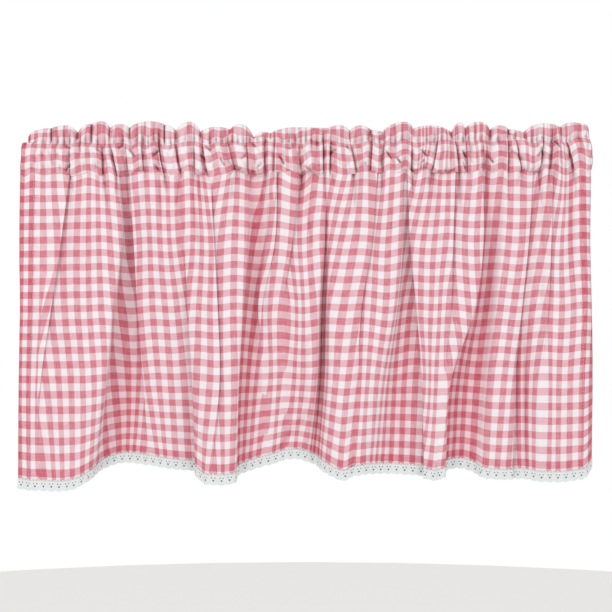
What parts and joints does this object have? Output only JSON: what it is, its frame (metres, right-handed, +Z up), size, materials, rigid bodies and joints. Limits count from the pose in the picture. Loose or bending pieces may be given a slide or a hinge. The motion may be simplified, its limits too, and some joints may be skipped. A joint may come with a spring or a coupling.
{
  "type": "window valance",
  "caption": "Gathered gingham window valance with a rod-pocket heading, a small ruffle above it and a scalloped lace edging along the hem.",
  "frame": {"origin": "middle of the upper seam of the rod pocket, where the rod carries the valance", "axes": "+X along the valance to the right as seen from the room, -Y towards the room, +Z up"},
  "size_m": [0.7133, 0.0545, 0.4552],
  "materials": {
    "gathered_gingham": "plain woven cotton gingham, rose red and off-white checks, gathered",
    "gingham": "plain woven cotton gingham, rose red and off-white checks",
    "lace": "off-white cotton lace with small round holes and a scalloped edge"
  },
  "bodies": {
    "root": {"heading": "gathered_gingham", "panel": "gingham", "lace_trim": "lace"}
  },
  "joints": []
}
